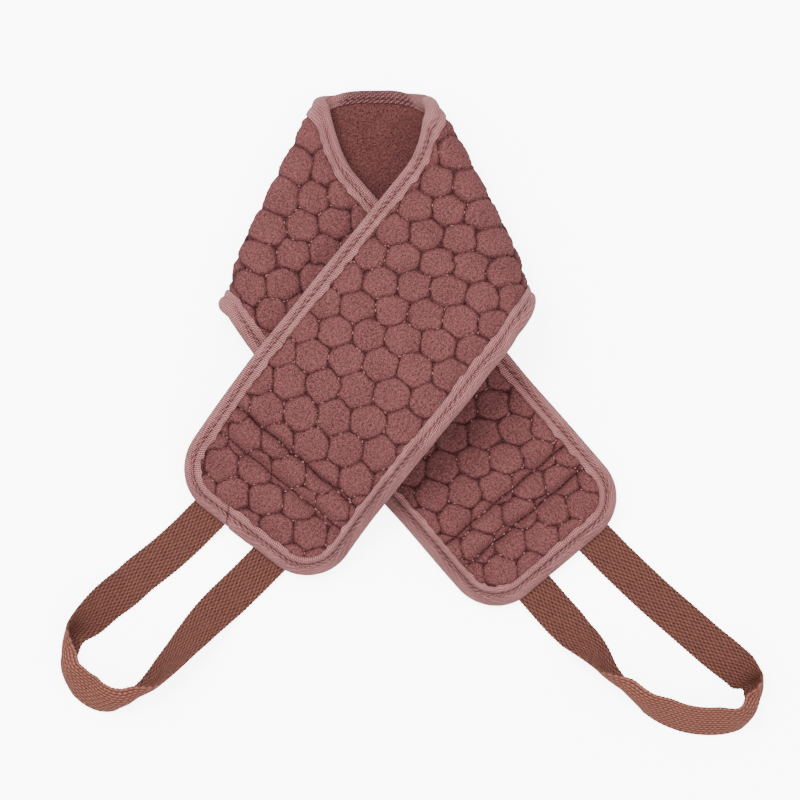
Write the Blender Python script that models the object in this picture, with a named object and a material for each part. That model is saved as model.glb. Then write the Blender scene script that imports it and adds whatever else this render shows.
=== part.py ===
"""A loofah back scrubber: a quilted terry belt with a webbing loop sewn into each end.

The belt is wrapped once like a scarf and laid down. Its middle lies on the table, a fold rises at each
side, and the two halves cross in front: the front strip lies over the under strip. Metres, +Z up.

A point of the belt is given by s, the distance along it from the middle of its back, by v, the distance
across it from its centreline, and by h, the height above its mid-surface, positive on the terry side.
Laid out flat, the wrap is a fan around an apex behind the neck, so the folds run towards that apex.
"""

import bmesh
import bpy
import numpy as np

# Driving dimensions
BELT_WIDTH = 0.111
CORNER_RADIUS = 0.028
FRONT_LENGTH = 0.304  # from the middle of the back to the end of the front strip
UNDER_LENGTH = 0.329
FRONT_END_LENGTH = 0.059  # from the inner cross-stitch row to the edge
UNDER_END_LENGTH = 0.053
GAP = 0.0003

# The layers, as heights from the mid-surface
TERRY = (0.0025, 0.0040)
CORE = (-0.0025, 0.0022)
END_CORE = (-0.0005, 0.0022)  # thinner, because the handle's tails lie under it
TAIL = (-0.0023, -0.0008)
LINING = (-0.0040, -0.0028)
BINDING_HEIGHT = 0.0042
BINDING_THICKNESS = 0.0012
BINDING_TERRY_WIDTH = 0.0105
BINDING_LINING_WIDTH = 0.0086
EDGE_INSET = BINDING_THICKNESS + 0.0009  # clear of the tape, whose flat cuts bulge where the folds twist
EDGE_SQUEEZE = 0.63  # the layers' share of their thickness under the binding
SQUEEZE_START = 0.0180
SQUEEZE_END = 0.0130

# The wrap: a fan around the apex, folded at each side
APEX_X, APEX_Y = -0.0201, 0.2486  # puts the origin under the middle of the whole object
APEX_TO_CENTRELINE = 0.1145
SILHOUETTE_ANGLE = np.radians(25.9)  # from the back's middle line out to a fold
FRONT_HINGE_ANGLE = np.radians(37.5)  # the fan line, just past the fold's top, where the front strip opens
SWAY_START = 0.006
SWAY = 0.0235  # the belt bends away from the apex by this much as it leaves the back
SWAY_LENGTH = 0.080
TUCK = 0.0060  # the belt's outer side is drawn in by this much where it folds
TUCK_PLACE, TUCK_REACH = 0.094, 0.035
RISE_LENGTH = 0.045
FRONT = {
    "turn": np.radians(52.1),
    "length": FRONT_LENGTH,
    "lift": (0.0110, 0.131),
    "drop_start": (0.225, 0.150),
    "drop_end": (0.312, 0.318),
}
UNDER = {
    "turn": np.radians(49.7),
    "length": UNDER_LENGTH,
    "lift": (0.0095, 0.035),
    "drop_start": (0.150, 0.150),
    "drop_end": (0.240, 0.240),
}

# The handles
WEBBING_WIDTH = 0.020
WEBBING_THICKNESS = 0.0016
TAIL_LENGTH = 0.045
FRONT_HANDLE_ROUTE = (
    (0.000, -0.0235), (0.033, -0.0285), (0.069, -0.0371), (0.089, -0.0397), (0.104, -0.0387),
    (0.113, -0.0357), (0.119, -0.0297), (0.122, -0.0208), (0.123, -0.0107), (0.1206, -0.0027),
    (0.116, 0.0028), (0.110, 0.0070), (0.095, 0.0113), (0.080, 0.0132), (0.058, 0.0141),
    (0.026, 0.0177), (0.000, 0.0208),
)
UNDER_HANDLE_ROUTE = (
    (0.000, 0.0200), (0.020, 0.0195), (0.042, 0.0189), (0.062, 0.0184), (0.075, 0.0179),
    (0.086, 0.0165), (0.101, 0.0127), (0.115, 0.0052), (0.127, -0.0073), (0.1323, -0.0208),
    (0.1305, -0.0313), (0.125, -0.0371), (0.116, -0.0390), (0.098, -0.0380), (0.070, -0.0340),
    (0.043, -0.0300), (0.000, -0.0255),
)
FRONT_HANDLE_FLIPS = ((0.33, 0.445), (0.545, 0.73))
UNDER_HANDLE_FLIPS = ((0.13, 0.315), (0.53, 0.66))
TIP_LEAN = np.radians(60.0)  # of the webbing's width above the table where the loop stands up

# How finely the shapes are cut
BACK_ROWS = 8
FOLD_ROWS = 11
STRIP_ROWS = 8
FRONT_ROWS = 16
TAIL_ROWS = 6
HANDLE_ROWS = 44

TERRY_COLOUR = (0.30, 0.115, 0.115)
LINING_COLOUR = (0.27, 0.105, 0.10)
FOAM_COLOUR = (0.80, 0.76, 0.70)
BINDING_COLOUR = (0.49, 0.24, 0.23)
WEBBING_COLOUR = (0.24, 0.095, 0.070)

HALF_WIDTH = BELT_WIDTH / 2
COLUMNS = (-HALF_WIDTH + EDGE_INSET, -HALF_WIDTH + SQUEEZE_END, -HALF_WIDTH + SQUEEZE_START, -0.018,
           0.0, 0.018, HALF_WIDTH - SQUEEZE_START, HALF_WIDTH - SQUEEZE_END, HALF_WIDTH - EDGE_INSET)
END_COLUMNS = (-HALF_WIDTH + EDGE_INSET, -0.051, -0.046, -HALF_WIDTH + SQUEEZE_END,
               -HALF_WIDTH + SQUEEZE_START, -0.024, -0.008, 0.008, 0.024, HALF_WIDTH - SQUEEZE_START,
               HALF_WIDTH - SQUEEZE_END, 0.046, 0.051, HALF_WIDTH - EDGE_INSET)
END_ROW_SHARES = (0.0, 0.2, 0.42, 0.61, 0.69, 0.78, 0.89, 1.0)


def smooth(x, low, high):
    t = np.clip((x - low) / (high - low), 0.0, 1.0)
    return t * t * (3.0 - 2.0 * t)


def crease_angle(side, radius):
    """Where the back starts to rise into a fold that is a half-circle as high as the front lies there."""
    rise, slope = side["lift"]
    return SILHOUETTE_ANGLE - (rise / radius + slope) / 2.0


def from_apex(along, v):
    """The distance across the fan of a point of the belt."""
    tuck = TUCK * smooth(v, 0.015, HALF_WIDTH) * np.exp(-((along - TUCK_PLACE) / TUCK_REACH) ** 2)
    return APEX_TO_CENTRELINE + v + SWAY * smooth(along, SWAY_START, SWAY_LENGTH) - tuck


def fan_line(v, along, fan_angle):
    """How far along the belt it meets a line of the fan, at v across it, from a first guess."""
    for _ in range(20):
        across = from_apex(along, v)
        along = (along + across * np.tan(fan_angle(np.hypot(along, across)))) / 2.0
    return along


def fold_line(side, v, share):
    """How far along the belt the fold has turned by this share of its half-circle, at v across it."""
    def fan_angle(radius):
        crease = crease_angle(side, radius)
        return crease + (side["turn"] - 2.0 * crease) * share

    return fan_line(v, 0.05, fan_angle)


def mid_surface(s, v):
    side = UNDER if s < 0 else FRONT
    sign = -1.0 if s < 0 else 1.0
    along = abs(s)
    radius_across = from_apex(along, v)
    radius = np.hypot(along, radius_across)
    fan = np.arctan2(along, radius_across)
    crease = crease_angle(side, radius)
    top = side["turn"] - crease
    turn = np.pi * np.clip((fan - crease) / (top - crease), 0.0, 1.0)
    if fan <= crease:
        plan = fan
    elif fan >= top:
        plan = side["turn"] - fan
    else:
        plan = crease + (SILHOUETTE_ANGLE - crease) * np.sin(turn)
    over = (1.0 - np.cos(turn)) / 2.0
    top_along = fold_line(side, v, 1.0)
    top_radius = np.hypot(top_along, from_apex(top_along, v))
    rise = RISE_LENGTH * (1.0 - np.exp(-max(radius - top_radius, 0.0) / RISE_LENGTH))
    lift = side["lift"][0] + side["lift"][1] * (min(radius, top_radius) + rise)
    across = (v + HALF_WIDTH) / BELT_WIDTH
    start = np.interp(across, (0, 1), side["drop_start"])
    end = np.interp(across, (0, 1), side["drop_end"])
    height = BINDING_HEIGHT + lift * over * (1.0 - smooth(along, start, end))
    return np.array([
        APEX_X + sign * radius * np.sin(plan), APEX_Y - radius * np.cos(plan), height])


def belt_point(s, v, h):
    """The place of a point of the belt at height h from its mid-surface."""
    step = 0.0003
    along = mid_surface(s + step, v) - mid_surface(s - step, v)
    across = mid_surface(s, v + step) - mid_surface(s, v - step)
    outward = np.cross(along, across)
    return mid_surface(s, v) + h * outward / np.linalg.norm(outward)


def edge_distance(along, v, length):
    """How far inside its outline a point of a round-cornered strip lies."""
    to_end, to_side = length - along, HALF_WIDTH - abs(v)
    if to_end < CORNER_RADIUS and to_side < CORNER_RADIUS:
        return CORNER_RADIUS - np.hypot(CORNER_RADIUS - to_end, CORNER_RADIUS - to_side)
    return min(to_end, to_side)


def end_line(v, length, inset):
    """How far along the belt its round-cornered end lies, at v across it."""
    into_corner = abs(v) - (HALF_WIDTH - CORNER_RADIUS)
    if into_corner <= 0:
        return length - inset
    radius = CORNER_RADIUS - inset
    return length - CORNER_RADIUS + np.sqrt(max(radius ** 2 - into_corner ** 2, 0.0))


def layer_point(s, v, h):
    """As belt_point, for a layer that is squeezed thinner under the binding."""
    length = UNDER_LENGTH if s < 0 else FRONT_LENGTH
    inside = edge_distance(abs(s), v, length)
    squeeze = EDGE_SQUEEZE + (1.0 - EDGE_SQUEEZE) * np.clip(
        (inside - SQUEEZE_END) / (SQUEEZE_START - SQUEEZE_END), 0.0, 1.0)
    return belt_point(s, v, h * squeeze)


def new_material(name, colour, roughness):
    material = bpy.data.materials.new(name)
    material.use_nodes = True
    shader = material.node_tree.nodes["Principled BSDF"]
    shader.inputs["Base Color"].default_value = (*colour, 1.0)
    shader.inputs["Roughness"].default_value = roughness
    shader.inputs["Metallic"].default_value = 0.0
    return material


def bent_slab(name, collection, material, rows, columns, place):
    """A flat slab of rows by columns of cells, whose corners place(row, column, side) puts in space."""
    mesh = bpy.data.meshes.new(name)
    slab = bmesh.new()
    bmesh.ops.create_grid(slab, x_segments=rows, y_segments=columns, size=0.5)
    faces = bmesh.ops.extrude_face_region(slab, geom=slab.faces[:], use_keep_orig=True)
    for vertex in faces["geom"]:
        if isinstance(vertex, bmesh.types.BMVert):
            vertex.co.z = 1.0
    for vertex in slab.verts:
        row = round((vertex.co.x + 0.5) * rows)
        column = round((vertex.co.y + 0.5) * columns)
        vertex.co = place(row, column, round(vertex.co.z))
    bmesh.ops.triangulate(slab, faces=slab.faces[:])
    bmesh.ops.recalc_face_normals(slab, faces=slab.faces[:])
    slab.to_mesh(mesh)
    slab.free()
    mesh.shade_smooth()
    mesh.set_sharp_from_angle(angle=np.radians(40.0))
    mesh.materials.append(material)
    piece = bpy.data.objects.new(name, mesh)
    collection.objects.link(piece)
    return piece


def front_hinge_line(v):
    return fan_line(v, 0.08, lambda radius: FRONT_HINGE_ANGLE)


def loop_stations():
    """Rows of the loop body: -3 is the under end's hinge, 3 the front strip's, and 1 to 2 a fold."""
    return np.concatenate([
        np.linspace(-3, -2.12, STRIP_ROWS), (-2.04,), np.linspace(-2, -1, FOLD_ROWS, endpoint=False),
        np.linspace(-1, 1, BACK_ROWS, endpoint=False), np.linspace(1, 2, FOLD_ROWS, endpoint=False),
        (2, 2.5, 3)])


LOOP_STATIONS = loop_stations()


def loop_row_line(row, v):
    station = LOOP_STATIONS[row]
    side, sign, reach = (UNDER, -1, -station) if station < 0 else (FRONT, 1, station)
    if reach <= 1:
        return sign * reach * fold_line(side, v, 0.0)
    if reach <= 2:
        return sign * fold_line(side, v, reach - 1)
    top = fold_line(side, v, 1.0)
    hinge = UNDER_LENGTH - UNDER_END_LENGTH - GAP / 2 if station < 0 else front_hinge_line(v) - GAP
    return sign * (top + (hinge - top) * (reach - 2))


def front_row_line(row, v):
    start = front_hinge_line(v) + GAP
    end = FRONT_LENGTH - FRONT_END_LENGTH - GAP / 2
    return start + (end - start) * row / FRONT_ROWS


SECTIONS = {
    "loop": (len(LOOP_STATIONS) - 1, loop_row_line),
    "front": (FRONT_ROWS, front_row_line),
}


def section_layer(name, collection, material, section, heights):
    rows, line = SECTIONS[section]

    def place(row, column, side):
        v = COLUMNS[column]
        return layer_point(line(row, v), v, heights[side])

    return bent_slab(name, collection, material, rows, len(COLUMNS) - 1, place)


def end_layer(name, collection, material, sign, length, end_length, heights):
    def place(row, column, side):
        v = END_COLUMNS[column]
        start = length - end_length + GAP / 2
        along = start + (end_line(v, length, EDGE_INSET) - start) * END_ROW_SHARES[row]
        return layer_point(sign * along, v, heights[side])

    return bent_slab(name, collection, material, len(END_ROW_SHARES) - 1, len(END_COLUMNS) - 1, place)


def binding_profile():
    """The folded tape's section, inner side then outer side, as (distance in from the edge, height)."""
    inner, outer, round_off = BINDING_HEIGHT - BINDING_THICKNESS, BINDING_HEIGHT, 0.0016
    thickness = BINDING_THICKNESS
    return (
        ((BINDING_TERRY_WIDTH, inner), (thickness, inner), (thickness, 0.0), (thickness, -inner),
         (BINDING_LINING_WIDTH, -inner)),
        ((BINDING_TERRY_WIDTH, outer), (round_off, outer), (0.0, 0.0), (round_off, -outer),
         (BINDING_LINING_WIDTH, -outer)),
    )


PROFILE = binding_profile()


def side_binding(name, collection, material, section, edge):
    """The tape along one straight side: edge is -1 for the neck side and +1 for the outer side."""
    rows, line = SECTIONS[section]

    def place(row, column, side):
        inward, height = PROFILE[side][column]
        v = edge * (HALF_WIDTH - inward)
        return belt_point(line(row, v), v, height)

    return bent_slab(name, collection, material, rows, len(PROFILE[0]) - 1, place)


def end_outline(length, end_length):
    """The end's outline as (s, v, direction inwards), from the neck side round to the outer side."""
    start, corner = length - end_length + GAP / 2, length - CORNER_RADIUS
    centre = HALF_WIDTH - CORNER_RADIUS
    points = [(along, -HALF_WIDTH, (0.0, 1.0)) for along in np.linspace(start, corner, 4)[:-1]]
    for edge, first, last in ((-1, -90, 0), (1, 0, 90)):
        for angle in np.radians(np.linspace(first, last, 9)):
            outward = (np.cos(angle), np.sin(angle))
            points.append((corner + CORNER_RADIUS * outward[0], edge * centre + CORNER_RADIUS * outward[1],
                           (-outward[0], -outward[1])))
    points += [(along, HALF_WIDTH, (0.0, -1.0)) for along in np.linspace(corner, start, 4)[1:]]
    return points


def end_binding(name, collection, material, sign, length, end_length):
    outline = end_outline(length, end_length)

    def place(row, column, side):
        along, v, inwards = outline[row]
        inward, height = PROFILE[side][column]
        return belt_point(sign * (along + inward * inwards[0]), v + inward * inwards[1], height)

    return bent_slab(name, collection, material, len(outline) - 1, len(PROFILE[0]) - 1, place)


def tail(name, collection, material, sign, length, v_centre):
    """A stretch of the handle's webbing that is sewn in under the core."""
    start = length - TAIL_LENGTH

    def place(row, column, side):
        v = v_centre + WEBBING_WIDTH * (column - 1) / 2
        along = start + (end_line(v, length, EDGE_INSET + GAP) - start) * row / TAIL_ROWS
        return layer_point(sign * along, v, TAIL[side])

    return bent_slab(name, collection, material, TAIL_ROWS, 2, place)


def smooth_route(route, count):
    """Evenly spaced points on a Catmull-Rom curve through the route's points."""
    knots = np.array([2 * np.array(route[0]) - route[1], *route, 2 * np.array(route[-1]) - route[-2]])
    fine = []
    for a, b, c, d in zip(knots, knots[1:], knots[2:], knots[3:]):
        for t in np.linspace(0.0, 1.0, 12, endpoint=False):
            fine.append(0.5 * (2 * b + (c - a) * t + (2 * a - 5 * b + 4 * c - d) * t ** 2
                               + (3 * b - a - 3 * c + d) * t ** 3))
    fine = np.array([*fine, knots[-2]])
    reach = np.concatenate([[0.0], np.cumsum(np.linalg.norm(np.diff(fine, axis=0), axis=1))])
    even = np.linspace(0.0, reach[-1], count)
    return np.stack([np.interp(even, reach, fine[:, k]) for k in (0, 1)], axis=1)


def end_axes(sign, length):
    """The middle of an end's edge, the direction out of it, and the direction of +v, in plan."""
    edge = mid_surface(sign * length, 0.0)
    out = edge - mid_surface(sign * (length - 0.01), 0.0)
    across = mid_surface(sign * length, 0.01) - edge
    out[2] = across[2] = 0.0
    return edge, out / np.linalg.norm(out), across / np.linalg.norm(across)


def handle_frames(sign, length, route, flips, count):
    """Centre and half-width vector of the webbing at each row of a handle.

    The legs lie flat with the loop's inner face up, and the tip stands on its edge, leaning inwards.
    """
    edge, out, across = end_axes(sign, length)
    plan = smooth_route(route, count)
    centres = edge * (1, 1, 0) + plan[:, :1] * out + plan[:, 1:] * across
    tangents = np.gradient(centres, axis=0)
    tangents /= np.linalg.norm(tangents, axis=1)[:, None]
    middle = centres.mean(axis=0)
    frames = []
    for i, (centre, tangent) in enumerate(zip(centres, tangents)):
        share = i / (count - 1)
        inward = np.array([-tangent[1], tangent[0], 0.0])
        if inward @ (middle - centre) < 0:
            inward = -inward
        up = smooth(share, *flips[0]) * (1.0 - smooth(share, *flips[1]))
        roll = np.pi + (TIP_LEAN - np.pi) * up
        width = inward * np.cos(roll) + np.array([0.0, 0.0, np.sin(roll)])
        root = 1.0 - smooth(plan[i, 0], 0.0, 0.018)
        centre[2] = (WEBBING_THICKNESS + WEBBING_WIDTH * abs(np.sin(roll))) / 2
        centre[2] += root * (BINDING_HEIGHT - WEBBING_THICKNESS / 2)
        frames.append((centre, tangent, width))
    return frames


def handle(name, collection, material, sign, length, route, flips):
    frames = handle_frames(sign, length, route, flips, HANDLE_ROWS + 1)
    out = end_axes(sign, length)[1]

    def place(row, column, side):
        centre, tangent, width = frames[row]
        face = np.cross(tangent, width)
        if row in (0, HANDLE_ROWS):
            centre = centre + out * GAP
            width = np.cross(out, (0, 0, 1)) * np.sign(np.cross(out, (0, 0, 1)) @ width)
        return (centre + width * WEBBING_WIDTH * (column - 1) / 2
                + face * WEBBING_THICKNESS * (side - 0.5))

    return bent_slab(name, collection, material, HANDLE_ROWS, 2, place)


def pivot(name, collection, place, pieces):
    """An empty on a joint's axis that the joint's pieces hang from, without moving them."""
    empty = bpy.data.objects.new(name, None)
    empty.location = place
    collection.objects.link(empty)
    for piece in pieces:
        piece.parent = empty
        piece.matrix_parent_inverse.translation = -empty.location


def main():
    for old in list(bpy.data.objects):
        bpy.data.objects.remove(old, do_unlink=True)
    parts = bpy.data.collections.new("loofah_back_scrubber")
    bpy.context.scene.collection.children.link(parts)
    terry = new_material("terry", TERRY_COLOUR, 0.95)
    lining = new_material("lining", LINING_COLOUR, 0.95)
    foam = new_material("foam", FOAM_COLOUR, 0.9)
    tape = new_material("binding", BINDING_COLOUR, 0.85)
    webbing = new_material("webbing", WEBBING_COLOUR, 0.8)

    for section in SECTIONS:
        pieces = [
            section_layer(f"{section}_terry_face", parts, terry, section, TERRY),
            section_layer(f"{section}_foam_core", parts, foam, section, CORE),
            section_layer(f"{section}_lining", parts, lining, section, LINING),
            side_binding(f"{section}_neck_binding", parts, tape, section, -1),
            side_binding(f"{section}_outer_binding", parts, tape, section, 1),
        ]
        if section == "front":
            hinge = belt_point(front_hinge_line(0.0), 0.0, BINDING_HEIGHT)
            pivot("front_strip_hinge", parts, hinge, pieces)

    ends = (
        ("front", 1, FRONT_LENGTH, FRONT_END_LENGTH, FRONT_HANDLE_ROUTE, FRONT_HANDLE_FLIPS),
        ("under", -1, UNDER_LENGTH, UNDER_END_LENGTH, UNDER_HANDLE_ROUTE, UNDER_HANDLE_FLIPS),
    )
    for end, sign, length, end_length, route, flips in ends:
        pieces = [
            end_layer(f"{end}_end_terry_face", parts, terry, sign, length, end_length, TERRY),
            end_layer(f"{end}_end_foam_core", parts, foam, sign, length, end_length, END_CORE),
            end_layer(f"{end}_end_lining", parts, lining, sign, length, end_length, LINING),
            end_binding(f"{end}_end_binding", parts, tape, sign, length, end_length),
            tail(f"{end}_handle_neck_tail", parts, webbing, sign, length, min(route[0][1], route[-1][1])),
            tail(f"{end}_handle_outer_tail", parts, webbing, sign, length, max(route[0][1], route[-1][1])),
        ]
        hinge = belt_point(sign * (length - end_length), 0.0, BINDING_HEIGHT)
        pivot(f"{end}_end_hinge", parts, hinge, pieces)
        loop = handle(f"{end}_handle", parts, webbing, sign, length, route, flips)
        edge = end_axes(sign, length)[0]
        pivot(f"{end}_handle_hinge", parts, edge + (0, 0, WEBBING_THICKNESS / 2), [loop])


main()
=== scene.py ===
"""The looks of the loofah back scrubber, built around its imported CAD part. Metres, +Z up.

The mapping from belt coordinates to space follows the part's: s along the belt from the middle of its back,
v across it, h above its mid-surface. Here the outer edge also spreads past the folds' corners, the corners
are settled by a few millimetres, and every layer is cut finely enough to carry its quilting.
"""

import bpy
import numpy as np
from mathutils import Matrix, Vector


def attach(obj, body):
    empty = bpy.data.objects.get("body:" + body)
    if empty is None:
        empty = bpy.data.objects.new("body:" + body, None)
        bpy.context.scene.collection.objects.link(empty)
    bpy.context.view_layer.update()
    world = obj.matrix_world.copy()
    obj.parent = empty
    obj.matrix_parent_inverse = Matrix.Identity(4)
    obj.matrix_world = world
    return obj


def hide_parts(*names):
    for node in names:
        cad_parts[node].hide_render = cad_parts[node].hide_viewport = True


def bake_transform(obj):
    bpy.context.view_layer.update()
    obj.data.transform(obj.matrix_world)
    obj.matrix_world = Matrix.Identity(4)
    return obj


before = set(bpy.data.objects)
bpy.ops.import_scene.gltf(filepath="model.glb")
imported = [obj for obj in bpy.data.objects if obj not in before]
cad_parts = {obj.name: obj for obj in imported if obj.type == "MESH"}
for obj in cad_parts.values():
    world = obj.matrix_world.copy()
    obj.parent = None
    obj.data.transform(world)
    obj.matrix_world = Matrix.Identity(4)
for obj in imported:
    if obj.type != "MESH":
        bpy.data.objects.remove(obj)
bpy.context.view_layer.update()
rng = np.random.default_rng(7)
MM = 0.001

# The belt, as in the part
BELT_WIDTH = 0.111
HALF = BELT_WIDTH / 2
CORNER_RADIUS = 0.028
FRONT_LENGTH, UNDER_LENGTH = 0.304, 0.329
FRONT_END_LENGTH, UNDER_END_LENGTH = 0.059, 0.053
BINDING_HEIGHT = 0.0042
APEX_X, APEX_Y = -0.0201, 0.2486
APEX_TO_CENTRELINE = 0.1145
SILHOUETTE_ANGLE = np.radians(25.9)
FRONT_HINGE_ANGLE = np.radians(37.5)
SWAY, SWAY_START, SWAY_LENGTH = 0.0235, 0.006, 0.080
# How the folds' corners are moved from the part's place: where, by how much, and how far round it reaches.
SETTLED = (((-0.111, 0.068), (0.0045, -0.0026), 0.018), ((0.0735, 0.068), (-0.0030, -0.0040), 0.018),
           ((-0.050, 0.182), (-0.0004, 0.0012), 0.018), ((0.014, 0.181), (-0.0028, 0.0010), 0.018),
           ((-0.0560, 0.184), (0.0012, -0.0014), 0.009), ((0.0170, 0.187), (-0.0032, -0.0012), 0.009))
TUCK, TUCK_PLACE, TUCK_REACH = 0.0060, 0.094, 0.035
TUCK_START = 0.015  # how far out across the belt the tuck begins
RISE_LENGTH = 0.045
FRONT = {"turn": np.radians(52.1), "lift": (0.0110, 0.131),
         "drop_start": (0.225, 0.150), "drop_end": (0.312, 0.318),
         "spread": (0.0042, 0.0021, 0.085, 0.118, 0.125, 0.150)}
UNDER = {"turn": np.radians(49.7), "lift": (0.0095, 0.035),
         "drop_start": (0.150, 0.150), "drop_end": (0.240, 0.240),
         "spread": (0.0042, 0.0030, 0.073, 0.098, 0.100, 0.160)}
# "spread" is how much wider the outer edge lies past the fold's corner: up to SPREAD_FADE and just there,
# then where it starts, where it is whole, and where the second share begins to fade and is gone.
SPREAD_FADE = (0.16, 0.26)
WEBBING_WIDTH, WEBBING_THICKNESS = 0.0226, 0.0016
TAIL_LENGTH = 0.045
LOOP_STEP = 0.0006  # how finely the webbing is cut along its length
FRONT_HANDLE_ROUTE = (
    (0.000, -0.0235), (0.033, -0.0285), (0.069, -0.0371), (0.089, -0.0397), (0.104, -0.0387),
    (0.113, -0.0357), (0.119, -0.0297), (0.122, -0.0208), (0.123, -0.0107), (0.1206, -0.0027),
    (0.116, 0.0028), (0.110, 0.0070), (0.095, 0.0113), (0.080, 0.0132), (0.058, 0.0141),
    (0.026, 0.0177), (0.000, 0.0208),
)
UNDER_HANDLE_ROUTE = (
    (0.000, 0.0200), (0.020, 0.0195), (0.042, 0.0189), (0.062, 0.0184), (0.075, 0.0179),
    (0.086, 0.0165), (0.101, 0.0127), (0.115, 0.0052), (0.127, -0.0073), (0.1323, -0.0208),
    (0.1305, -0.0313), (0.125, -0.0371), (0.116, -0.0390), (0.098, -0.0380), (0.070, -0.0340),
    (0.043, -0.0300), (0.000, -0.0255),
)
# How far round the webbing has turned along each loop, in degrees: 180 lies flat with its inner edge inwards.
FRONT_HANDLE_ROLL = ((0.22, 180), (0.28, 153), (0.37, 136), (0.44, 62), (0.51, 45), (0.56, 56), (0.65, 126),
                     (0.74, 142), (0.88, 180))
UNDER_HANDLE_ROLL = ((0.08, 180), (0.21, 126), (0.27, 80), (0.35, 56), (0.46, 55), (0.53, 77), (0.60, 148),
                     (0.70, 180))
# How far its outermost line lies from the route, in mm.
FRONT_HANDLE_REACH = ((0.19, 10.6), (0.30, 7.5), (0.38, 5.5), (0.42, 2.5), (0.49, 7.2), (0.54, 6.8),
                      (0.61, 3.8), (0.66, 7.0), (0.78, 10.4), (1.0, 11.3))
UNDER_HANDLE_REACH = ((0.12, 13.3), (0.26, 4.5), (0.35, 6.0), (0.49, 5.6), (0.55, 1.2), (0.62, 7.4),
                      (1.0, 8.8))
# Where the webbing curls across its width, how tightly and over what share of the loop.
FRONT_HANDLE_CURLS = ((0.405, 0.50, 0.04), (0.61, 0.22, 0.05))
UNDER_HANDLE_CURLS = ((0.25, 0.24, 0.05), (0.55, 0.42, 0.035))

# The quilting: a lattice of rounded hexagons, as cell spacings along and across the belt
CELL_ALONG, CELL_ACROSS = 0.0195, 0.0154
FRONT_LATTICE = ((0.1718, -0.0092), (0.0193, -0.0014), (0.0098, 0.0154))
UNDER_LATTICE = ((-0.2510, 0.0011), (0.0198, 0.0003), (0.0103, 0.0155))

# The webbing's weave: the floats' spacing across and along it, the ribs' spacing and breaks, the edge's loops
FLOAT_ACROSS, FLOAT_ALONG = 0.00215, 0.0046
RIB_SPACING, RIB_BREAK = 0.00178, 0.0030
EDGE_LOOP = 0.0023

GRID = 0.00085  # how finely the terry is cut
COARSE_GRID, COARSE_COLUMNS = 0.0013, 84  # the same for the layers beneath it
BINDING_GRID = 0.0008
END_LINE = 0.205  # where the end stretches begin, from the middle of the back
STITCH_MARGIN = 0.011  # no quilting stitch lies nearer to the belt's edge


def smooth(x, low, high):
    t = np.clip((x - low) / (high - low), 0.0, 1.0)
    return t * t * (3.0 - 2.0 * t)


def mix(a, b, share):
    return a + (b - a) * share


# ---- from belt coordinates to space ----

def crease_angle(side, radius):
    rise, slope = side["lift"]
    return SILHOUETTE_ANGLE - (rise / radius + slope) / 2.0


def from_apex(side, along, v):
    tuck = TUCK * smooth(v, TUCK_START, HALF) * np.exp(-((along - TUCK_PLACE) / TUCK_REACH) ** 2)
    least, extra, start, end, fade, gone = side["spread"]
    spread = (least * (1 - smooth(along, *SPREAD_FADE)) + extra * (1 - smooth(along, fade, gone)))
    spread = spread * smooth(v, 0.0, HALF) * smooth(along, start, end)
    return APEX_TO_CENTRELINE + v + SWAY * smooth(along, SWAY_START, SWAY_LENGTH) - tuck + spread


def fan_line(side, v, along, fan_angle):
    along = np.full(np.shape(v), along, float)
    for _ in range(24):
        across = from_apex(side, along, v)
        along = (along + across * np.tan(fan_angle(np.hypot(along, across)))) / 2.0
    return along


def fold_line(side, v, share):
    def fan_angle(radius):
        crease = crease_angle(side, radius)
        return crease + (side["turn"] - 2.0 * crease) * share

    return fan_line(side, v, 0.05, fan_angle)


ACROSS_TABLE = np.linspace(-0.062, 0.062, 125)
TOP_TABLE = {id(side): fold_line(side, ACROSS_TABLE, 1.0) for side in (FRONT, UNDER)}


def mid_half(side, sign, along, v):
    across = from_apex(side, along, v)
    radius, fan = np.hypot(along, across), np.arctan2(along, across)
    crease = crease_angle(side, radius)
    top = side["turn"] - crease
    turn = np.pi * np.clip((fan - crease) / (top - crease), 0.0, 1.0)
    plan = np.where(fan <= crease, fan, np.where(
        fan >= top, side["turn"] - fan, crease + (SILHOUETTE_ANGLE - crease) * np.sin(turn)))
    over = (1.0 - np.cos(turn)) / 2.0
    top_along = np.interp(v, ACROSS_TABLE, TOP_TABLE[id(side)])
    top_radius = np.hypot(top_along, from_apex(side, top_along, v))
    rise = RISE_LENGTH * (1.0 - np.exp(-np.maximum(radius - top_radius, 0.0) / RISE_LENGTH))
    lift = side["lift"][0] + side["lift"][1] * (np.minimum(radius, top_radius) + rise)
    share = (v + HALF) / BELT_WIDTH
    start, end = (mix(*side[key], share) for key in ("drop_start", "drop_end"))
    height = BINDING_HEIGHT + lift * over * (1.0 - smooth(along, start, end))
    return np.stack([APEX_X + sign * radius * np.sin(plan), APEX_Y - radius * np.cos(plan), height], -1)


def mid_surface(s, v):
    s, v = np.broadcast_arrays(np.asarray(s, float), np.asarray(v, float))
    points = np.empty(s.shape + (3,))
    right = s >= 0
    points[right] = mid_half(FRONT, 1.0, s[right], v[right])
    points[~right] = mid_half(UNDER, -1.0, -s[~right], v[~right])
    for (x, y), (dx, dy), reach in SETTLED:
        near = np.exp(-((points[..., 0] - x) ** 2 + (points[..., 1] - y) ** 2) / reach ** 2)
        points[..., 0] += dx * near
        points[..., 1] += dy * near
    return points


def unit(vectors):
    return vectors / np.linalg.norm(vectors, axis=-1, keepdims=True)


def belt_frame(s, v):
    """The point of the mid-surface, and the unit directions along the belt, across it and out of it."""
    step = 0.0003
    along = mid_surface(s + step, v) - mid_surface(s - step, v)
    across = mid_surface(s, v + step) - mid_surface(s, v - step)
    outward = unit(np.cross(along, across))
    along = unit(along)
    return mid_surface(s, v), along, np.cross(outward, along), outward


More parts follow.
